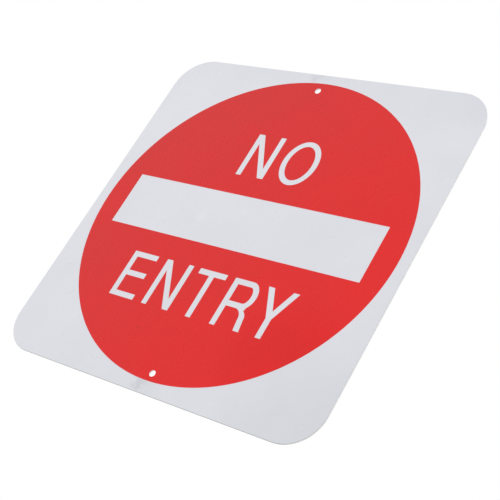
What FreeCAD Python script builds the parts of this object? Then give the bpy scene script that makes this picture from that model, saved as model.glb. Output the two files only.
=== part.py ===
import FreeCAD, Part
import os

import Sketcher

# No entry sign: a square aluminium blank with round corners, white sheeting over its whole face, and a
# red field on the sheeting that leaves a white bar. Two bolt holes go through all three layers.
#
# The sign hangs upright in its own frame. +X is to the right and +Z is up for someone who reads the
# sign, and the face looks towards -Y. The origin lies on the back of the blank, midway between the
# bolt holes, where the post's bolts hold it. Sizes are in millimetres.

SIZES = {
    # The blank: an 18 inch square of 0.063 inch sheet, with its sheared edges broken
    "blank_side": 457.2,
    "blank_thickness": 1.6,
    "corner_radius": 44.45,
    "edge_break": 0.25,
    # The bolt holes, an inch in from the upper and the lower edge. They were punched askew, the upper
    # one a step to the left of the middle and the lower one the same step to the right.
    "hole_edge_distance": 25.4,
    "hole_side_step": 5.4,
    "hole_diameter": 7.9375,
    # The white sheeting, which stops just short of the broken edge
    "sheeting_thickness": 0.25,
    "sheeting_margin": 0.15,
    # The red field: a disc a little in from the blank's edges, with a bar left out across its middle
    "field_thickness": 0.1,
    "disc_edge_distance": 14.5,
    "bar_end_distance": 30.5,
    "bar_height": 73.2,
    # How far the print sits off the blank's centre
    "print_shift_right": 0.6,
    "print_shift_up": 1.2,
}

HALF_BLANK = "Sizes.blank_side / 2"
HOLE_RISE = f"{HALF_BLANK} - Sizes.hole_edge_distance"
SHEETING_INSET = "(Sizes.edge_break + Sizes.sheeting_margin)"
DISC_RADIUS = f"{HALF_BLANK} - Sizes.disc_edge_distance"
HALF_BAR_WIDTH = f"{DISC_RADIUS} - Sizes.bar_end_distance"
HALF_BAR_HEIGHT = "Sizes.bar_height / 2"

# A sketch's own numbers: for the ends and the centre of what it draws, and for its origin, which is
# the start of its level axis
START, END, CENTRE = range(1, 4)
ORIGIN = (-1, START)
PLANE_NORMAL = FreeCAD.Vector(0, 0, 1)


def fill_sheet(document):
    """Put the driving sizes into a sheet, each in a cell with an alias."""
    sheet = document.addObject("Spreadsheet::Sheet", "Sizes")
    for row, (alias, value) in enumerate(SIZES.items(), start=1):
        sheet.set(f"A{row}", alias)
        sheet.set(f"B{row}", str(value))
        sheet.setAlias(f"B{row}", alias)
    document.recompute()


def new_body(document, label, behind):
    """Start a layer whose back lies in front of everything behind it, given as a depth."""
    body = document.addObject("PartDesign::Body", label)
    body.Label = label
    body.setExpression("Placement.Base.y", f"-({behind})")
    return body


def new_sketch(body, name, lift="0"):
    """Add a sketch on the body's upright plane, lifted from the layer's back towards the reader."""
    sketch = body.newObject("Sketcher::SketchObject", name)
    upright = next(plane for plane in body.Origin.OriginFeatures if plane.Role == "XZ_Plane")
    sketch.AttachmentSupport = [(upright, "")]
    sketch.MapMode = "FlatFace"
    sketch.setExpression("AttachmentOffset.Base.z", lift)
    return sketch


def point(across, up):
    return FreeCAD.Vector(across, up, 0)


def bind(sketch, name, kind, geometry, expression):
    """Give a sketch a driving dimension and bind it to the sheet."""
    index = sketch.addConstraint(Sketcher.Constraint(kind, *geometry, sketch.evalExpression(expression)))
    sketch.renameConstraint(index, name)
    sketch.setExpression(f"Constraints.{name}", expression)


def bind_sides(sketch, sides, half_width, half_height):
    """Hold four sides, from the bottom one round to the left one, level or upright about the origin."""
    bottom, right, top, left = sides
    for level in (bottom, top):
        sketch.addConstraint(Sketcher.Constraint("Horizontal", level))
    for upright in (right, left):
        sketch.addConstraint(Sketcher.Constraint("Vertical", upright))
    bind(sketch, "to_right", "DistanceX", (*ORIGIN, right, START), half_width)
    bind(sketch, "to_left", "DistanceX", (left, START, *ORIGIN), half_width)
    bind(sketch, "to_top", "DistanceY", (*ORIGIN, top, START), half_height)
    bind(sketch, "to_bottom", "DistanceY", (bottom, START, *ORIGIN), half_height)


def draw_rectangle(sketch, half_width, half_height):
    """Draw a square-cornered rectangle about the sketch's origin."""
    right = sketch.evalExpression(half_width)
    top = sketch.evalExpression(half_height)
    corners = [point(-right, -top), point(right, -top), point(right, top), point(-right, top)]
    ends = corners[1:] + corners[:1]
    sides = [sketch.addGeometry(Part.LineSegment(*line)) for line in zip(corners, ends)]
    for side, following in zip(sides, sides[1:] + sides[:1]):
        sketch.addConstraint(Sketcher.Constraint("Coincident", side, END, following, START))
    bind_sides(sketch, sides, half_width, half_height)


def draw_rounded_square(sketch, half_side, radius):
    """Draw a square with four equal round corners about the sketch's origin."""
    reach = sketch.evalExpression(half_side)
    corner_size = sketch.evalExpression(radius)
    straight = reach - corner_size
    halfway = straight + corner_size * 0.5**0.5
    sides = []
    corners = []
    for quarter in range(4):
        turn = FreeCAD.Rotation(PLANE_NORMAL, 90 * quarter).multVec
        leave = turn(point(straight, -reach))
        middle = turn(point(halfway, -halfway))
        arrive = turn(point(reach, -straight))
        sides.append(sketch.addGeometry(Part.LineSegment(turn(point(-straight, -reach)), leave)))
        corners.append(sketch.addGeometry(Part.Arc(leave, middle, arrive)))
    for side, corner, following in zip(sides, corners, sides[1:] + sides[:1]):
        sketch.addConstraint(Sketcher.Constraint("Tangent", side, END, corner, START))
        sketch.addConstraint(Sketcher.Constraint("Tangent", corner, END, following, START))
    for corner in corners[1:]:
        sketch.addConstraint(Sketcher.Constraint("Equal", corners[0], corner))
    bind(sketch, "corner", "Radius", (corners[0],), radius)
    bind_sides(sketch, sides, half_side, half_side)


def draw_disc(sketch, radius):
    """Draw a circle about the sketch's origin."""
    circle = sketch.addGeometry(Part.Circle(point(0, 0), PLANE_NORMAL, sketch.evalExpression(radius)))
    sketch.addConstraint(Sketcher.Constraint("Coincident", circle, CENTRE, *ORIGIN))
    bind(sketch, "disc", "Radius", (circle,), radius)


def draw_bolt_holes(sketch):
    """Draw the upper bolt hole, left of the middle, and the lower one straight across the origin."""
    step = sketch.evalExpression("Sizes.hole_side_step")
    rise = sketch.evalExpression(HOLE_RISE)
    radius = sketch.evalExpression("Sizes.hole_diameter / 2")
    upper = sketch.addGeometry(Part.Circle(point(-step, rise), PLANE_NORMAL, radius))
    lower = sketch.addGeometry(Part.Circle(point(step, -rise), PLANE_NORMAL, radius))
    sketch.addConstraint(Sketcher.Constraint("Equal", upper, lower))
    sketch.addConstraint(Sketcher.Constraint("Symmetric", upper, CENTRE, lower, CENTRE, *ORIGIN))
    bind(sketch, "hole", "Diameter", (upper,), "Sizes.hole_diameter")
    bind(sketch, "to_left", "DistanceX", (upper, CENTRE, *ORIGIN), "Sizes.hole_side_step")
    bind(sketch, "to_top", "DistanceY", (*ORIGIN, upper, CENTRE), HOLE_RISE)


def shift_print(sketch):
    """Move a sketch of the print off the blank's centre."""
    sketch.setExpression("AttachmentOffset.Base.x", "Sizes.print_shift_right")
    sketch.setExpression("AttachmentOffset.Base.y", "Sizes.print_shift_up")


def raise_layer(document, body, outline, thickness):
    """Raise a layer from its outline, from its back towards the reader."""
    layer = body.newObject("PartDesign::Pad", f"{body.Label}_layer")
    layer.Profile = outline
    layer.setExpression("Length", thickness)
    document.recompute()


def check_cut(document, body, cut):
    """Stop if a cut took nothing away."""
    document.recompute()
    if cut.Shape.Volume >= cut.BaseFeature.Shape.Volume:
        raise RuntimeError(f"{cut.Name} cuts nothing out of {body.Label}")


def break_edges(document, body, size):
    """Round over every edge that lies in the front or the back face."""
    layer = body.Tip
    flat = 0.001
    rim = [
        f"Edge{number}"
        for number, edge in enumerate(layer.Shape.Edges, start=1)
        if edge.BoundBox.YLength < flat
    ]
    rounding = body.newObject("PartDesign::Fillet", f"{body.Label}_edge_break")
    rounding.Base = (layer, rim)
    rounding.setExpression("Radius", size)
    check_cut(document, body, rounding)


def punch_bolt_holes(document, body, thickness):
    """Punch the bolt holes through a layer from its face."""
    centres = new_sketch(body, f"{body.Label}_hole_centres", lift=thickness)
    draw_bolt_holes(centres)
    document.recompute()
    holes = body.newObject("PartDesign::Hole", f"{body.Label}_bolt_holes")
    holes.Profile = centres
    holes.DepthType = "ThroughAll"
    holes.setExpression("Diameter", "Sizes.hole_diameter")
    check_cut(document, body, holes)


def make_blank(document):
    """The aluminium blank: sheared to its outline, broken along its edges and punched."""
    blank = new_body(document, "aluminium_blank", behind="0")
    outline = new_sketch(blank, "blank_outline")
    draw_rounded_square(outline, HALF_BLANK, "Sizes.corner_radius")
    raise_layer(document, blank, outline, "Sizes.blank_thickness")
    break_edges(document, blank, "Sizes.edge_break")
    punch_bolt_holes(document, blank, "Sizes.blank_thickness")
    return blank


def make_sheeting(document):
    """The white sheeting, stuck all over the flat of the blank's face."""
    sheeting = new_body(document, "white_sheeting", behind="Sizes.blank_thickness")
    outline = new_sketch(sheeting, "sheeting_outline")
    draw_rounded_square(
        outline, f"{HALF_BLANK} - {SHEETING_INSET}", f"Sizes.corner_radius - {SHEETING_INSET}"
    )
    raise_layer(document, sheeting, outline, "Sizes.sheeting_thickness")
    punch_bolt_holes(document, sheeting, "Sizes.sheeting_thickness")
    return sheeting


def make_field(document):
    """The red field: a disc of film whose bar is cut out, so that the white sheeting shows there."""
    field = new_body(document, "red_field", behind="Sizes.blank_thickness + Sizes.sheeting_thickness")
    disc = new_sketch(field, "disc_outline")
    shift_print(disc)
    draw_disc(disc, DISC_RADIUS)
    raise_layer(document, field, disc, "Sizes.field_thickness")
    bar = new_sketch(field, "bar_outline", lift="Sizes.field_thickness")
    shift_print(bar)
    draw_rectangle(bar, HALF_BAR_WIDTH, HALF_BAR_HEIGHT)
    window = field.newObject("PartDesign::Pocket", "bar_window")
    window.Profile = bar
    window.Type = "ThroughAll"
    check_cut(document, field, window)
    punch_bolt_holes(document, field, "Sizes.field_thickness")
    return field


def check_and_write(document, layers):
    """Write each layer to its own file, once every object is sound."""
    document.recompute()
    for item in document.Objects:
        if {"Invalid", "Error"} & set(item.State):
            raise RuntimeError(f"{item.Label} failed: {item.State}")
    for layer in layers:
        if layer.Shape.isNull() or not layer.Shape.isValid() or len(layer.Shape.Solids) != 1:
            raise RuntimeError(f"{layer.Label} is not one sound solid")
    os.makedirs("parts", exist_ok=True)
    for layer in layers:
        layer.Shape.exportStep(f"parts/{layer.Label}.step")
        print(f"{layer.Label}: {layer.Shape.Volume:.1f} cubic millimetres")


def main():
    document = FreeCAD.newDocument("NoEntrySign")
    fill_sheet(document)
    layers = [make_blank(document), make_sheeting(document), make_field(document)]
    check_and_write(document, layers)


main()
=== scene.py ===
# %% [markdown]
# # A no entry sign
#
# The sign is a flat aluminium blank. White sheeting is stuck all over its face, and a red film lies on the
# sheeting. The bar and the words are windows cut in that film, so what looks like white print is the
# sheeting showing through. A part model gives the three layers at their real size. This script adds what
# such a model leaves out: the windows for the words, the finish of each surface, the light and the camera.

import math

import bpy
import numpy as np
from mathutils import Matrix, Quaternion, Vector
from mathutils.geometry import delaunay_2d_cdt


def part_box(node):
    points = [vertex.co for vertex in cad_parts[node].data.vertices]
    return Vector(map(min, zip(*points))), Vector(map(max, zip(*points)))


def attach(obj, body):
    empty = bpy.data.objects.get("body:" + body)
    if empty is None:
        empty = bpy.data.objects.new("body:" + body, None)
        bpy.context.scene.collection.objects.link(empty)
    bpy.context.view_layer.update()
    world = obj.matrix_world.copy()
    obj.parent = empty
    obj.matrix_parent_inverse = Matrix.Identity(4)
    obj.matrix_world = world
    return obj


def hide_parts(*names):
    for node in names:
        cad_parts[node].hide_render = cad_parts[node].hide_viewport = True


MM = 0.001

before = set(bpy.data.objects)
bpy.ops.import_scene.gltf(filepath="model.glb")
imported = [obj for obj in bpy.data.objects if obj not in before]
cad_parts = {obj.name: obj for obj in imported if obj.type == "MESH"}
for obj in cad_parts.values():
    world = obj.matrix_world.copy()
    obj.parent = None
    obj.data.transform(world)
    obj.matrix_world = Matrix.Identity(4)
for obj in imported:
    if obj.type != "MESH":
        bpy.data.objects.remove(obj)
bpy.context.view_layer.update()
blank_low, blank_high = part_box("aluminium_blank")
film_low, film_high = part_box("red_field")
film_centre = (film_low + film_high) / 2
print("layers:", ", ".join(sorted(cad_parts)))
print("blank, mm:", [round(size / MM, 2) for size in blank_high - blank_low])

# %% [markdown]
# ## Where the camera stands
#
# The sign keeps the pose it has on its post: upright, with its face towards -Y. The photograph was taken
# from the right and from below, with the camera leaning over, and that is why the sign looks tipped. A
# camera could be aimed with a Track To constraint, but such a constraint leaves no room for the lean. So the
# rotation is made in two steps: first look along the line of sight, then roll about it. The angles, the
# distance and the lens come from fitting the outline, the disc and the bar, whose true sizes are known.

# %% Camera
CAMERA_LENS = 83.914
SENSOR_WIDTH = 36.0
CAMERA_DISTANCE = 1305.90 * MM
CAMERA_AZIMUTH = math.radians(40.478)
CAMERA_ELEVATION = math.radians(-21.255)
CAMERA_LEAN = math.radians(31.189)
AIM_POINT = Vector((33.24 * MM, film_low.y, -29.20 * MM))


def line_of_sight(azimuth, elevation):
    """Unit vector from the aim point to the camera: the sine and cosine of the azimuth in the ground
    plane, both shortened by the cosine of the elevation, and the sine of the elevation upwards."""
    return Vector((
        math.sin(azimuth) * math.cos(elevation),
        -math.cos(azimuth) * math.cos(elevation),
        math.sin(elevation),
    ))


to_camera = line_of_sight(CAMERA_AZIMUTH, CAMERA_ELEVATION)
camera = bpy.data.objects.new("camera", bpy.data.cameras.new("camera"))
camera.data.lens = CAMERA_LENS
camera.data.sensor_width = SENSOR_WIDTH
camera.location = AIM_POINT + to_camera * CAMERA_DISTANCE
camera.rotation_mode = "QUATERNION"
camera.rotation_quaternion = (-to_camera).to_track_quat("-Z", "Y") @ Quaternion((0, 0, 1), CAMERA_LEAN)
bpy.context.scene.collection.objects.link(camera)
bpy.context.scene.camera = camera
bpy.context.scene.view_settings.view_transform = "Standard"
print("camera stands at", [round(value, 3) for value in camera.location], "m")

# %% [markdown]
# ## Straight letters
#
# The words are set in a light, even-stroked capital alphabet. Text objects could write them, but their font
# is heavier and would not give clean loops to cut with. Here each letter is a few closed loops of points,
# in millimetres, from its own lower left corner. The straight letters come first, because corners are all
# that they need.

# %% Straight letters
CAP_HEIGHT = 62.0
STEM = 7.5
ARM = 7.1


def slant_width(run, rise):
    """Width along the top of a slanted stroke that is STEM thick: STEM times its length over its rise."""
    return STEM * math.hypot(run, rise) / rise


def letter_e():
    """A stem with three arms, as twelve corners. The middle arm is a little short and above the middle."""
    width, short_arm, middle = 38.0, 35.8, 0.523 * CAP_HEIGHT
    corners = [
        (0, 0), (width, 0), (width, ARM), (STEM, ARM),
        (STEM, middle - ARM / 2), (short_arm, middle - ARM / 2),
        (short_arm, middle + ARM / 2), (STEM, middle + ARM / 2),
        (STEM, CAP_HEIGHT - ARM), (width, CAP_HEIGHT - ARM), (width, CAP_HEIGHT), (0, CAP_HEIGHT),
    ]
    return width, [np.array(corners)]


def letter_n():
    """Two stems and a diagonal. Each side of the diagonal is a straight line from corner to corner, and
    meets a stem where that line has gone one stem's width across."""
    width, run = 41.0, 31.0
    slant = slant_width(run, CAP_HEIGHT)
    meets = CAP_HEIGHT * STEM / (width - slant)
    corners = [
        (0, 0), (STEM, 0), (STEM, CAP_HEIGHT - meets), (width - slant, 0), (width, 0),
        (width, CAP_HEIGHT), (width - STEM, CAP_HEIGHT), (width - STEM, meets), (slant, CAP_HEIGHT),
        (0, CAP_HEIGHT),
    ]
    return width, [np.array(corners)]


def letter_t():
    """An arm across the top of a stem."""
    width = 40.4
    left, right = (width - STEM) / 2, (width + STEM) / 2
    corners = [
        (left, 0), (right, 0), (right, CAP_HEIGHT - ARM), (width, CAP_HEIGHT - ARM),
        (width, CAP_HEIGHT), (0, CAP_HEIGHT), (0, CAP_HEIGHT - ARM), (left, CAP_HEIGHT - ARM),
    ]
    return width, [np.array(corners)]


def letter_y():
    """A short stem that forks. The inner sides of the fork run parallel to the outer ones."""
    width, fork = 42.4, 0.40 * CAP_HEIGHT
    left, right, middle = (width - STEM) / 2, (width + STEM) / 2, width / 2
    slant = slant_width(left, CAP_HEIGHT - fork)
    crotch = CAP_HEIGHT - (middle - slant) * (CAP_HEIGHT - fork) / left
    corners = [
        (left, 0), (right, 0), (right, fork), (width, CAP_HEIGHT), (width - slant, CAP_HEIGHT),
        (middle, crotch), (slant, CAP_HEIGHT), (0, CAP_HEIGHT), (left, fork),
    ]
    return width, [np.array(corners)]


print("widths of E, N, T and Y, mm:", [letter()[0] for letter in (letter_e, letter_n, letter_t, letter_y)])

# %% [markdown]
# ## Round letters
#
# The O is two ellipses, and the R has a bowl and a leg that bends. Curve objects could draw them, but would
# have to be turned back into points before anything can be cut with them. A sine and a cosine carry a point
# round an ellipse, so a bowl is the same few numbers as the pen that would draw it.

# %% Round letters
def arc(centre, radii, start, end, count=24):
    """Points on an ellipse: the centre, plus the radii times the cosine and sine of an angle that runs
    evenly from start to end, in degrees."""
    angle = np.radians(np.linspace(start, end, count))
    return np.stack([centre[0] + radii[0] * np.cos(angle), centre[1] + radii[1] * np.sin(angle)], axis=1)


def ellipse(centre, radii, count):
    """A closed loop round an ellipse: an arc of 360 degrees without its last point, a copy of the first."""
    return arc(centre, radii, 0, 360, count + 1)[:-1]


def letter_o():
    """An upright ellipse and a smaller one inside it. The letter reaches 1 mm past the straight ones at its
    top and at its foot, as round letters must to look the same height."""
    width, overshoot = 49.4, 1.0
    centre = (width / 2, CAP_HEIGHT / 2)
    outer = (width / 2, CAP_HEIGHT / 2 + overshoot)
    inner = (outer[0] - STEM, outer[1] - ARM)
    return width, [ellipse(centre, outer, 96), ellipse(centre, inner, 80)]


def letter_r():
    """A stem, a bowl made of half an ellipse, and a leg. The leg's inner bend is a quarter of an ellipse
    that leaves the foot of the bowl. Its outer bend is part of a larger one, whose top is 2.6 mm higher."""
    width, bowl_width, bowl_foot, bowl_start = 41.2, 39.8, 0.425 * CAP_HEIGHT, 26.0
    leg_start, leg_foot, overhang = 21.0, 33.6, 0.4
    inner_bend, outer_bend, outer_rise = (10.6, 13.0), (17.8, 13.6), 2.6
    bowl_radii = np.array([bowl_width - bowl_start, (CAP_HEIGHT - bowl_foot) / 2])
    bowl_centre = (bowl_start, bowl_foot + bowl_radii[1])
    inner_leg = arc((leg_start, bowl_foot - inner_bend[1]), inner_bend, 90, 0, 16)
    outer_leg = arc((leg_start, bowl_foot + outer_rise - outer_bend[1]), outer_bend, 0, 48, 14)
    outline = np.concatenate([
        [(0, 0), (STEM, 0), (STEM, bowl_foot)],
        inner_leg, [(leg_foot, 0), (width + overhang, 0)],
        outer_leg, arc(bowl_centre, bowl_radii, -52, 90), [(0, CAP_HEIGHT)],
    ])
    counter = np.concatenate([
        [(STEM, bowl_foot + ARM)],
        arc(bowl_centre, bowl_radii - (STEM, ARM), -90, 90),
        [(STEM, CAP_HEIGHT - ARM)],
    ])
    return width, [outline, counter]


print("points round the O, outside and inside:", [len(loop) for loop in letter_o()[1]])

# %% [markdown]
# ## The two words
#
# A sign writer spaces letters by eye: two stems side by side need the most room, and an open letter such as
# the Y can stand closer. Equal gaps would be simpler, but the words would look uneven. So each letter brings
# the gap that follows it, and the whole line is then set about its middle.

# %% Words
def set_line(letters, middle, baseline):
    """Sets letters side by side about the middle of the line, and returns their loops and the line's
    length. Each entry is a letter's width and loops, and the gap after it."""
    length = sum(width + gap for (width, _), gap in letters)
    pen, loops = middle - length / 2, []
    for (width, shapes), gap in letters:
        loops += [shape + (pen, baseline) for shape in shapes]
        pen += width + gap
    return loops, length


upper_words, upper_length = set_line(
    [(letter_n(), 12.6), (letter_o(), 0)],
    middle=3.2, baseline=65.0,
)
lower_words, lower_length = set_line(
    [(letter_e(), 14.0), (letter_n(), 10.2), (letter_t(), 11.6), (letter_r(), 5.4), (letter_y(), 0)],
    middle=3.8, baseline=-128.4,
)
print("lines of lettering, mm:", round(upper_length, 1), "and", round(lower_length, 1))

# %% [markdown]
# ## Cutting a film
#
# The real film is a disc a tenth of a millimetre thick, with a window for the bar, one for each letter and
# a hole for each bolt. A boolean could cut the letters, but it leaves ragged triangles and is slow to
# check. All the loops are known, so the film is made from them: a constrained triangulation fills
# what lies inside an odd number of loops, and each loop carried through the film's thickness is a wall.

# %% Film cutter
# What the triangulation is told: fill inside the loops but leave their holes, and which points are the same
FILL_WITHOUT_HOLES = 2
SAME_POINT = 1e-7


def turning(loop):
    """Signed area of a loop, half the sum of the cross products of each point with the next: positive
    when the loop turns anticlockwise."""
    after = np.roll(loop, -1, axis=0)
    return 0.5 * float(np.sum(loop[:, 0] * after[:, 1] - loop[:, 1] * after[:, 0]))


def directed(loop, anticlockwise):
    """The same loop, reversed where needed so that the film lies on its left."""
    return loop if (turning(loop) > 0) == anticlockwise else loop[::-1]


def cut_film(solids, windows, front, back):
    """A flat film with windows. The loops lie in the plane of X and Z, in millimetres. The faces are a
    triangulation that keeps every loop as an edge and leaves out what an even number of loops surround.
    A wall is a loop's points at the front and at the back, joined point by point."""
    loops = [directed(loop, True) for loop in solids] + [directed(loop, False) for loop in windows]
    flat = np.concatenate(loops)
    counts = np.array([len(loop) for loop in loops])
    first = np.repeat(np.cumsum(counts) - counts, counts)
    here = np.arange(len(flat))
    after = first + (here - first + 1) % np.repeat(counts, counts)
    rings = np.split(here, np.cumsum(counts)[:-1])
    regions = [ring.tolist() for ring in rings]
    filled = delaunay_2d_cdt(flat.tolist(), [], regions, FILL_WITHOUT_HOLES, SAME_POINT)
    if len(filled[0]) != len(flat):
        raise ValueError("two loops of the film cross")
    triangles = np.array(filled[2])
    corners = flat[triangles]
    side_a, side_b = corners[:, 1] - corners[:, 0], corners[:, 2] - corners[:, 0]
    clockwise = side_a[:, 0] * side_b[:, 1] - side_a[:, 1] * side_b[:, 0] < 0
    triangles[clockwise] = triangles[clockwise][:, ::-1]
    points = np.zeros((2 * len(flat), 3))
    points[:, 0] = np.tile(flat[:, 0], 2) * MM
    points[:, 1] = np.repeat([front, back], len(flat))
    points[:, 2] = np.tile(flat[:, 1], 2) * MM
    walls = np.stack([here, here + len(flat), after + len(flat), after], axis=1)
    faces = triangles.tolist() + (triangles[:, ::-1] + len(flat)).tolist() + walls.tolist()
    mesh = bpy.data.meshes.new("red_film")
    mesh.from_pydata(points, [], faces)
    mesh.update()
    return mesh


print("signed area of a unit square:", turning(np.array([(0, 0), (1, 0), (1, 1), (0, 1)])))

# %% [markdown]
# ## The red film
#
# The part model has a red layer of its own, with the disc, the bar and the bolt holes but no words. The
# words could be cut out of that layer, but it is made of loose triangles, which cut badly. So a whole new
# film takes its place. The layer's box gives its middle, its radius and its thickness, and the bar and the
# bolt holes have the sizes of the part model, in millimetres.

# %% Film mesh
BAR_HALF_SIZE = (183.6, 36.6)
BOLT_HOLE_RADIUS = 3.96875
BOLT_HOLES = [(-5.4, 203.2), (5.4, -203.2)]
PRINT_CENTRE = (film_centre.x / MM, film_centre.z / MM)
DISC_RADIUS = (film_high.x - film_low.x) / 2 / MM

disc = ellipse(PRINT_CENTRE, (DISC_RADIUS, DISC_RADIUS), 360)
bar_corners = np.array([(-1, -1), (1, -1), (1, 1), (-1, 1)]) * BAR_HALF_SIZE + PRINT_CENTRE
bolt_holes = [ellipse(centre, (BOLT_HOLE_RADIUS, BOLT_HOLE_RADIUS), 48) for centre in BOLT_HOLES]
letter_loops = upper_words + lower_words

# A counter, such as the inside of the O, is a loop that lies within another. It stays film
counters = [
    loop for loop in letter_loops
    if any(other is not loop
           and np.all(loop.min(axis=0) > other.min(axis=0))
           and np.all(loop.max(axis=0) < other.max(axis=0)) for other in letter_loops)
]
openings = [loop for loop in letter_loops if not any(loop is counter for counter in counters)]

film = bpy.data.objects.new(
    "red_film",
    cut_film([disc] + counters, [bar_corners] + bolt_holes + openings, film_low.y, film_high.y),
)
bpy.context.scene.collection.objects.link(film)
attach(film, "root")
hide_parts("red_field")
print("film:", len(film.data.polygons), "faces,", len(openings), "letters,", len(counters), "counters")

# %% [markdown]
# ## Wiring a finish
#
# A finish is a chain of nodes that ends in a shader. The chain could be put together by hand in the shader
# editor, but this scene has about two hundred nodes, and in code they can be read, repeated and changed.
# The helpers below start a material, add a node, set it and link it, so that each step is a line of code.

# %% Node helpers
def start_finish(name):
    """A new material: returns it, its node tree, its shader and the socket with the place of each point."""
    material = bpy.data.materials.new(name)
    material.use_nodes = True
    tree = material.node_tree
    place = tree.nodes.new("ShaderNodeTexCoord").outputs["Object"]
    return material, tree, tree.nodes["Principled BSDF"], place


def feed(tree, socket, value):
    """Links a socket to another, or sets it to a number, a place or a colour."""
    if isinstance(value, bpy.types.NodeSocket):
        tree.links.new(value, socket)
    elif socket.type == "RGBA":
        socket.default_value = (*value[:3], 1.0)
    else:
        socket.default_value = value


def add_node(tree, kind, settings=(), **links):
    """Adds a node, sets its options, then links or sets its inputs by name, with _ for a space."""
    node = tree.nodes.new(kind)
    for option, value in dict(settings).items():
        setattr(node, option, value)
    for label, value in links.items():
        feed(tree, node.inputs[label.replace("_", " ")], value)
    return node


def calculate(tree, operation, first, second=0.0):
    """One sum on two numbers, such as MULTIPLY, or on one number, such as FLOOR."""
    node = tree.nodes.new("ShaderNodeMath")
    node.operation = operation
    feed(tree, node.inputs[0], first)
    feed(tree, node.inputs[1], second)
    return node.outputs[0]


def reckon(tree, operation, first, second=(0, 0, 0)):
    """One sum on two places. A length, a distance or a dot product is a number; the others are places."""
    node = tree.nodes.new("ShaderNodeVectorMath")
    node.operation = operation
    feed(tree, node.inputs[0], first)
    feed(tree, node.inputs[1], second)
    return node.outputs["Value" if operation in ("LENGTH", "DISTANCE", "DOT_PRODUCT") else "Vector"]


def dress(objects, material):
    """Puts a material in the first slot of each object."""
    for item in objects:
        if item.data.materials:
            item.data.materials[0] = material
        else:
            item.data.materials.append(material)


print("node helpers ready")

# %% [markdown]
# ## Patterns for the finishes
#
# Nothing on a real sign is quite even: not its tone, nor its gloss, nor its surface. Images could carry that,
# but they need files and blur when looked at closely. Here all of it is worked out from the place of a point
# on the sign, so there are no seams. Object coordinates are in metres, and a noise whose scale is 100 has
# features about a hundredth of a metre across.

# %% Pattern helpers
# A Mix node has sockets for every kind of value, and these are the ones for colours
MIX_AMOUNT, MIX_FIRST, MIX_SECOND, MIX_RESULT = 0, 6, 7, 2


def grain(tree, place, scale, detail=2.0, stretch=(1, 1, 1), offset=(0, 0, 0)):
    """Noise from 0 to 1 at the place times stretch. Stretch below 1 draws the features out along an axis."""
    moved = add_node(tree, "ShaderNodeMapping", Vector=place, Scale=stretch, Location=offset)
    noise = add_node(tree, "ShaderNodeTexNoise", Vector=moved.outputs[0], Scale=scale, Detail=detail)
    return noise.outputs["Fac"]


def between(tree, value, low, high, start=0.3, end=0.7, kind="SMOOTHSTEP"):
    """Turns a value from start to end into one from low to high, and holds it there beyond."""
    node = add_node(tree, "ShaderNodeMapRange", {"interpolation_type": kind}, Value=value, From_Min=start,
                    From_Max=end, To_Min=low, To_Max=high)
    return node.outputs["Result"]


def blend_colours(tree, amount, first, second):
    """The first colour where the amount is 0, the second where it is 1, and their mixture between."""
    node = tree.nodes.new("ShaderNodeMix")
    node.data_type = "RGBA"
    feed(tree, node.inputs[MIX_AMOUNT], amount)
    feed(tree, node.inputs[MIX_FIRST], first)
    feed(tree, node.inputs[MIX_SECOND], second)
    return node.outputs[MIX_RESULT]


def near(tree, place, centre, radius):
    """1 round a centre, given in millimetres right and up, out to a fifth of the radius, and from there
    falling smoothly to 0 at the radius."""
    flat = reckon(tree, "MULTIPLY", place, (1, 0, 1))
    apart = reckon(tree, "DISTANCE", flat, (centre[0] * MM, 0, centre[1] * MM))
    return between(tree, apart, 1.0, 0.0, 0.2 * radius * MM, radius * MM)


def roughen(tree, shader, height, depth, under=None):
    """Turns a height from 0 to 1 into a bump that is depth metres deep, and returns its normal."""
    node = add_node(tree, "ShaderNodeBump", Height=height, Distance=depth, Strength=1.0)
    if under is not None:
        tree.links.new(under, node.inputs["Normal"])
    tree.links.new(node.outputs[0], shader.inputs["Normal"])
    return node.outputs[0]


print("pattern helpers ready")

# %% [markdown]
# ## White sheeting
#
# Sheeting of this kind is a layer of glass beads under a clear top film. The beads make the white a little
# grey, and the film over them is smooth, with a soft gloss. Plain white paint would look chalky beside it.
# The beads are far finer than anything a picture of the whole sign can show, so only the tone is drawn. It
# deepens to the lower right, a painted shade, and along the top, with faint clouds. Darker wisps sit next to
# the bolt holes.

# %% White sheeting finish
SHEETING_LIGHT = (0.735, 0.743, 0.787)
SHEETING_DARK = (0.560, 0.568, 0.612)
# Darker wispy marks next to the bolt holes: the grey they turn to, then a centre, radius and depth for each
DARK_MARK_GREY = (0.480, 0.480, 0.510)
DARK_MARKS_BY_HOLES = [((-19, 225), 12, 0.55), ((-6, -220), 13, 0.47), ((4, -219), 13, 0.25)]
TONE_AT_MIDDLE = 0.140
# Painted shade: along this slope the sheeting's colour darkens towards the lower right
PAINTED_SHADE_SLOPE = (0.255, 0, -0.193)
TOP_BAND_START, TOP_BAND_END, TOP_BAND_TONE = 175 * MM, 219 * MM, 0.133
CLOUD_TONE = 0.055
# The broad patch at the lower right corner is painted shade; the rest are darker and lighter spots
SHEETING_SHADE_AND_SPOTS = [
    ((205, -210), 122, 0.24), ((228, 215), 50, 0.10), ((-4, 228), 14, 0.14), ((12, -222), 26, 0.11),
    ((-58, -2), 9, -0.18), ((-5, 17), 6, -0.18),
]
FILM_IOR = 1.45
RIPPLE_DEPTH = 3e-6


def tone_patches(tree, place, tone, patches):
    """Adds soft round patches to a tone, each given as its centre, its radius and how much it adds."""
    for centre, radius, amount in patches:
        patch = calculate(tree, "MULTIPLY", near(tree, place, centre, radius), amount)
        tone = calculate(tree, "ADD", tone, patch)
    return tone


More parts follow.
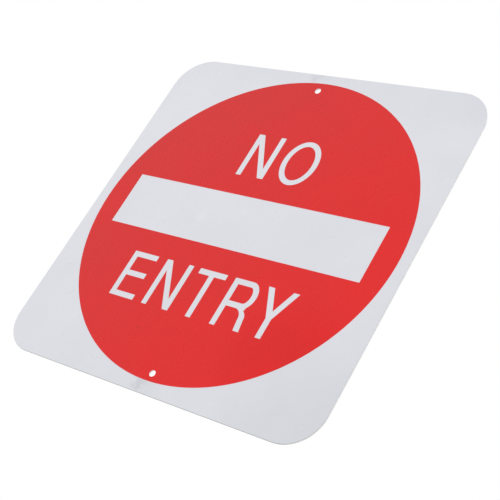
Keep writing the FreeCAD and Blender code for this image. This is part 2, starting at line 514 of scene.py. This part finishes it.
def sheeting_finish():
    """Base colour from a painted shade slope across the sheeting, a band at its top, clouds and patches,
    then darker wisps by the bolt holes; gloss and a shallow ripple from noise."""
    material, tree, shader, place = start_finish("white_sheeting_finish")
    # Painted shade, darker towards the lower right
    slope = calculate(tree, "ADD", reckon(tree, "DOT_PRODUCT", place, PAINTED_SHADE_SLOPE), TONE_AT_MIDDLE)
    height = reckon(tree, "DOT_PRODUCT", place, (0, 0, 1))
    band = between(tree, height, 0.0, TOP_BAND_TONE, TOP_BAND_START, TOP_BAND_END, "LINEAR")
    clouds = between(tree, grain(tree, place, 14, 4.0), -CLOUD_TONE, CLOUD_TONE)
    tone = calculate(tree, "ADD", calculate(tree, "ADD", slope, band), clouds)
    tone = tone_patches(tree, place, tone, SHEETING_SHADE_AND_SPOTS)
    colour = blend_colours(tree, tone, SHEETING_LIGHT, SHEETING_DARK)
    wisps = between(tree, grain(tree, place, 160, 3.0, offset=(3, 1, 2)), 0.25, 1.0, 0.35, 0.65)
    for centre, radius, depth in DARK_MARKS_BY_HOLES:
        amount = calculate(tree, "MULTIPLY", near(tree, place, centre, radius), depth)
        colour = blend_colours(tree, calculate(tree, "MULTIPLY", amount, wisps), colour, DARK_MARK_GREY)
    tree.links.new(colour, shader.inputs["Base Color"])
    tree.links.new(between(tree, grain(tree, place, 60, 3.0), 0.27, 0.36), shader.inputs["Roughness"])
    shader.inputs["IOR"].default_value = FILM_IOR
    roughen(tree, shader, grain(tree, place, 90, 2.0), RIPPLE_DEPTH)
    return material


dress([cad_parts["white_sheeting"]], sheeting_finish())
print("marks on the sheeting:", len(DARK_MARKS_BY_HOLES) + len(SHEETING_SHADE_AND_SPOTS))

# %% [markdown]
# ## Red under gloss
#
# The film is see-through red over white, so its colour is deep and clean, without the chalkiness of an
# opaque paint. It could be made as a sheet of coloured glass on white, but light would then have to find its
# way through two surfaces a tenth of a millimetre apart, which is noisy and doesn't export. A saturated base
# under a clear gloss looks the same. Towards the upper left the red is painted duller, a painted sheen for
# the veil of white that the gloss shows there. At the lower right it is painted darker, a painted shade.
# The gloss is a little duller at the lower right.

# %% Red film finish
# A clear red, and a duller one that is a painted sheen towards the upper left and a painted shade at the
# lower right
RED_CLEAR = (0.748, 0.0012, 0.0012)
RED_PAINTED_SHEEN_AND_SHADE = (0.640, 0.0055, 0.0058)
PAINTED_SHEEN_SLOPE = (1.0, 0.0, -0.7)
PAINTED_SHEEN_REACH = 0.26
INK_CLOUDS = 0.12
# Patches that shift the painted sheen at the left and the upper left, and one of painted shade at the lower
# right
FILM_SHEEN_AND_SHADE_PATCHES = [((-200, 0), 70, -0.26), ((-65, 195), 70, 0.30), ((150, -150), 110, 0.32)]
SPECK_PLACE, SPECK_COLOUR, SPECK_DEPTH = ((-49, -158), 1.6), (0.25, 0.01, 0.01), 0.6
DULL_PATCH = ((150, -150), 110)
GLOSS, DULL_GLOSS = 0.50, 0.42


def film_finish():
    """Base colour from a painted sheen slope across the sign, faint clouds, and patches of painted sheen
    and shade; a shallow ripple in the gloss.
    """
    material, tree, shader, place = start_finish("red_film_finish")
    # Painted sheen: the red turns duller towards the upper left
    slope = reckon(tree, "DOT_PRODUCT", place, PAINTED_SHEEN_SLOPE)
    sheen_and_shade = between(tree, slope, 1.0, 0.0, -PAINTED_SHEEN_REACH, PAINTED_SHEEN_REACH, "LINEAR")
    clouds = between(tree, grain(tree, place, 18, 4.0, offset=(5, 2, 7)), -INK_CLOUDS, INK_CLOUDS)
    sheen_and_shade = tone_patches(tree, place, calculate(tree, "ADD", sheen_and_shade, clouds), FILM_SHEEN_AND_SHADE_PATCHES)
    colour = blend_colours(tree, sheen_and_shade, RED_CLEAR, RED_PAINTED_SHEEN_AND_SHADE)
    speck = calculate(tree, "MULTIPLY", near(tree, place, *SPECK_PLACE), SPECK_DEPTH)
    colour = blend_colours(tree, speck, colour, SPECK_COLOUR)
    tree.links.new(colour, shader.inputs["Base Color"])
    tree.links.new(between(tree, grain(tree, place, 45, 3.0), 0.22, 0.31), shader.inputs["Roughness"])
    shine = between(tree, near(tree, place, *DULL_PATCH), GLOSS, DULL_GLOSS, 0.0, 1.0)
    tree.links.new(shine, shader.inputs["Specular IOR Level"])
    shader.inputs["IOR"].default_value = FILM_IOR
    roughen(tree, shader, grain(tree, place, 90, 2.0), RIPPLE_DEPTH)
    return material


dress([film], film_finish())
# The red with painted sheen and shade, then the clear red
print("red, thick to thin:", RED_PAINTED_SHEEN_AND_SHADE, RED_CLEAR)

# %% [markdown]
# ## The blank's edge and its scratches
#
# Two things on the blank follow lines, not noise: the cut metal along its edge, and the fine scratches that
# handling leaves. The edge could be given a material of its own, face by face, and the scratches could be
# painted on an image, but the part model's mesh is better left alone. So a point is told to be at the edge
# by how far it is from the middle of its nearest rounded corner, the same sum that draws the outline, and
# a scratch is a narrow lane that chance has picked.

# %% Edge and scratches
CORNER_RADIUS = 44.45 * MM
LANE_WIDTH, LANE_BEND, BLANK_LANES = 0.5 * MM, 20 * MM, 0.97


def beyond_corner(tree, place):
    """How far a point lies outside the square between the corners' centres: the length of what is left of
    its place, made positive, past half the side less the corner radius. At the outline it is that radius."""
    reach = blank_high.x - CORNER_RADIUS
    past = reckon(tree, "SUBTRACT", reckon(tree, "ABSOLUTE", place), (reach, 0, reach))
    left_over = reckon(tree, "MAXIMUM", reckon(tree, "MULTIPLY", past, (1, 0, 1)), (0, 0, 0))
    return reckon(tree, "LENGTH", left_over)


def scratches(tree, place, direction, seed):
    """Fine straight lines. The plane is cut into narrow lanes, each numbered by its distance across over
    the lane's width, rounded down, and bent a little by a slow noise. Chance picks a few lanes, and a
    noise along each one says where its line starts and stops."""
    angle = math.radians(direction)
    along = reckon(tree, "DOT_PRODUCT", place, (math.cos(angle), 0, math.sin(angle)))
    across = reckon(tree, "DOT_PRODUCT", place, (-math.sin(angle), 0, math.cos(angle)))
    bend = calculate(tree, "MULTIPLY", grain(tree, place, 4, 0.0, offset=(seed, 0, 0)), LANE_BEND)
    lanes_across = calculate(tree, "DIVIDE", calculate(tree, "ADD", across, bend), LANE_WIDTH)
    lane = calculate(tree, "FLOOR", lanes_across)
    chance = add_node(tree, "ShaderNodeTexWhiteNoise", {"noise_dimensions": "1D"}, W=lane).outputs["Value"]
    picked = calculate(tree, "GREATER_THAN", chance, BLANK_LANES)
    spot = add_node(tree, "ShaderNodeCombineXYZ", X=along, Y=lane, Z=seed).outputs[0]
    drawn = between(tree, grain(tree, spot, 18, 0.0, stretch=(1, 0.37, 1)), 0.0, 1.0, 0.60, 0.70)
    return calculate(tree, "MULTIPLY", picked, drawn)


print("corner radius, mm:", CORNER_RADIUS / MM)

# %% [markdown]
# ## Mill-finish aluminium
#
# The blank is rolled sheet, cut and punched. Its back keeps the mill's finish: long fine streaks along the
# direction of rolling, a cloudy sheen and a few scratches. Its edge and the walls of its holes are cut
# metal: duller, and lined straight through the thickness. Along the top and the bottom walls the cut metal is
# painted greyer: a painted shade on the bottom wall, and on the top wall a painted shade that holds down the
# lamps' glint. One even grey metal would do from far off, but from behind the back is all that there is to
# see, so each of these gets its own grain.

# %% Aluminium finish
ROLLED_LIGHT = (0.620, 0.626, 0.640)
ROLLED_SHADE = (0.510, 0.516, 0.530)
CUT_LIGHT = (0.815, 0.812, 0.812)
CUT_SHADE = (0.640, 0.636, 0.634)
# Painted shade: the cut metal on the top and bottom walls is darkened towards this grey
CUT_PAINTED_SHADE = (0.420, 0.420, 0.425)
EDGE_PAINTED_SHADE_FROM, EDGE_PAINTED_SHADE_FULL, EDGE_PAINTED_SHADE_TONE = 5 * MM, 1 * MM, 0.55
EDGE_STARTS, EDGE_FULL = 0.35 * MM, 0.2 * MM
# A soft patch that reaches RIM_WIDTH millimetres past a bolt hole has fallen to RIM_FULL at its wall
RIM_WIDTH, RIM_FULL = 0.4, 0.03
SCRATCH_TONE = 0.35
CUT_ROUGHNESS = 0.42
STREAK_DEPTH, CUT_DEPTH = 4e-6, 5e-6


def aluminium_finish():
    """Rolled metal on the flat and cut metal at the edge and in the holes, each with its own grain."""
    material, tree, shader, place = start_finish("aluminium_finish")
    streaks = grain(tree, place, 1400, 3.0, stretch=(0.01, 1, 1))
    bands = grain(tree, place, 150, 4.0, stretch=(0.03, 1, 1), offset=(2, 0, 9))
    clouds = grain(tree, place, 9, 4.0, offset=(1, 4, 3))
    rolled = calculate(tree, "ADD", between(tree, streaks, 0.0, 0.4), between(tree, bands, 0.0, 0.35))
    rolled = calculate(tree, "ADD", rolled, between(tree, clouds, 0.0, 0.25))
    colour = blend_colours(tree, rolled, ROLLED_LIGHT, ROLLED_SHADE)
    scored = calculate(tree, "MAXIMUM", scratches(tree, place, 28, 3), scratches(tree, place, -63, 8))
    colour = blend_colours(tree, calculate(tree, "MULTIPLY", scored, SCRATCH_TONE), colour, CUT_LIGHT)

    outermost = beyond_corner(tree, place)
    at_edge = between(tree, outermost, 0.0, 1.0, CORNER_RADIUS - EDGE_STARTS, CORNER_RADIUS - EDGE_FULL)
    for centre in BOLT_HOLES:
        patch = near(tree, place, centre, BOLT_HOLE_RADIUS + RIM_WIDTH)
        rim = between(tree, patch, 0.0, 1.0, 0.0, RIM_FULL)
        at_edge = calculate(tree, "MAXIMUM", at_edge, rim)
    cut_lines = grain(tree, place, 1500, 2.0, stretch=(1, 0.02, 1))
    cut = blend_colours(tree, between(tree, cut_lines, 0.0, 1.0), CUT_LIGHT, CUT_SHADE)
    # Painted shade on the top and bottom walls of the cut metal
    off_middle = calculate(tree, "ABSOLUTE", reckon(tree, "DOT_PRODUCT", place, (0, 0, 1)))
    edge_shade = between(
        tree, off_middle, 0.0, EDGE_PAINTED_SHADE_TONE, blank_high.z - EDGE_PAINTED_SHADE_FROM, blank_high.z - EDGE_PAINTED_SHADE_FULL
    )
    cut = blend_colours(tree, edge_shade, cut, CUT_PAINTED_SHADE)
    tree.links.new(blend_colours(tree, at_edge, colour, cut), shader.inputs["Base Color"])

    dull = calculate(tree, "ADD", between(tree, clouds, 0.30, 0.38), between(tree, streaks, 0.0, 0.06))
    dull = calculate(tree, "MAXIMUM", dull, calculate(tree, "MULTIPLY", at_edge, CUT_ROUGHNESS))
    tree.links.new(dull, shader.inputs["Roughness"])
    shader.inputs["Metallic"].default_value = 1.0
    rolling = roughen(tree, shader, streaks, STREAK_DEPTH)
    roughen(tree, shader, cut_lines, CUT_DEPTH, under=rolling)
    return material


aluminium = aluminium_finish()
dress([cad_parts["aluminium_blank"]], aluminium)
print("nodes in the aluminium finish:", len(aluminium.node_tree.nodes))

# %% [markdown]
# ## Light and background
#
# The photograph was taken in soft light that comes from everywhere, against pure white. A world of one
# strength can't give both, because white bright enough for the background would wash out the sign. So the
# world asks what kind of ray has reached it: the camera and reflections find white, and light that falls on
# the surfaces comes from a softer grey and two broad lamps.

# %% Light
WORLD_LIGHT = 0.85


def light_the_world():
    """White for camera, glossy and transmission rays; grey for the rays that light the surfaces."""
    world = bpy.data.worlds.new("studio")
    bpy.context.scene.world = world
    world.use_nodes = True
    tree = world.node_tree
    tree.nodes.clear()
    ray = tree.nodes.new("ShaderNodeLightPath").outputs
    seen = calculate(tree, "MAXIMUM", ray["Is Camera Ray"], ray["Is Glossy Ray"])
    seen = calculate(tree, "MAXIMUM", seen, ray["Is Transmission Ray"])
    strength = between(tree, seen, WORLD_LIGHT, 1.0, 0.0, 1.0, "LINEAR")
    background = add_node(tree, "ShaderNodeBackground", Color=(1, 1, 1, 1), Strength=strength)
    output = tree.nodes.new("ShaderNodeOutputWorld")
    tree.links.new(background.outputs[0], output.inputs["Surface"])


def hang_lamp(name, place, size, power):
    """A square lamp that faces the middle of the sign."""
    lamp = bpy.data.lights.new(name, "AREA")
    lamp.size = size
    lamp.energy = power
    holder = bpy.data.objects.new(name, lamp)
    holder.location = place
    holder.rotation_mode = "QUATERNION"
    holder.rotation_quaternion = (-Vector(place)).to_track_quat("-Z", "Y")
    holder.visible_camera = False
    bpy.context.scene.collection.objects.link(holder)
    return holder


light_the_world()
lamps = [
    hang_lamp("front_lamp", place=(1.6, -2.8, 4.2), size=6.0, power=108),
    hang_lamp("back_lamp", place=(-2.4, 3.6, 3.2), size=6.0, power=82),
]
print("lamps:", [lamp.name for lamp in lamps])

# %% [markdown]
# ## The ground
#
# A sign on its post hangs well above the ground, so the floor is far below and throws only a faint
# light back up. It is a wide disc, fine in the middle and coarse outside. A plane that simply ended
# would draw a line across the white, so far from the sign the floor turns into the background's white.

# %% Floor
GROUND_LEVEL = -1.75
FLOOR_RADIUS = 7.0
WHITENS_FROM, WHITENS_TO = 1.6, 6.0


def floor_mesh(radius, level, rings=12, spokes=96):
    """A disc on a grid of rings and spokes. A ring's share of the radius is its number over the count of
    rings, to the power 1.5, so the rings are closer inside. A point is that radius times the cosine and
    sine of its spoke's angle, and one face closes the innermost ring."""
    spoke, ring = np.meshgrid(np.arange(spokes), np.arange(1, rings + 1))
    angle = 2 * math.pi * spoke / spokes
    reach = radius * (ring / rings) ** 1.5
    points = np.stack([reach * np.cos(angle), reach * np.sin(angle), np.full(reach.shape, level)], axis=2)
    index = np.arange(rings * spokes).reshape(rings, spokes)
    after = np.roll(index, -1, axis=1)
    quads = np.stack([index[:-1], index[1:], after[1:], after[:-1]], axis=2).reshape(-1, 4)
    mesh = bpy.data.meshes.new("floor")
    mesh.from_pydata(points.reshape(-1, 3), [], quads.tolist() + [index[0].tolist()])
    mesh.update()
    return mesh


def floor_finish():
    """Pale matt floor with a faint mottle, which turns to the background's white far from the sign."""
    material, tree, shader, place = start_finish("floor_finish")
    mottle = between(tree, grain(tree, place, 3, 4.0), 0.0, 1.0)
    pale = blend_colours(tree, mottle, (0.80, 0.80, 0.80), (0.83, 0.83, 0.83))
    tree.links.new(pale, shader.inputs["Base Color"])
    shader.inputs["Roughness"].default_value = 0.8
    apart = reckon(tree, "DISTANCE", place, (0, 0, GROUND_LEVEL))
    far = between(tree, apart, 0.0, 1.0, WHITENS_FROM, WHITENS_TO)
    ray = tree.nodes.new("ShaderNodeLightPath").outputs
    seen = calculate(tree, "MAXIMUM", ray["Is Camera Ray"], ray["Is Glossy Ray"])
    white = add_node(tree, "ShaderNodeEmission", Color=(1, 1, 1, 1), Strength=1.0)
    mixed = tree.nodes.new("ShaderNodeMixShader")
    tree.links.new(calculate(tree, "MULTIPLY", far, seen), mixed.inputs[0])
    tree.links.new(shader.outputs[0], mixed.inputs[1])
    tree.links.new(white.outputs[0], mixed.inputs[2])
    tree.links.new(mixed.outputs[0], tree.nodes["Material Output"].inputs["Surface"])
    return material


floor = bpy.data.objects.new("floor", floor_mesh(FLOOR_RADIUS, GROUND_LEVEL))
bpy.context.scene.collection.objects.link(floor)
dress([floor], floor_finish())
print("floor is", round(blank_low.z - GROUND_LEVEL, 2), "m under the sign's lower edge")
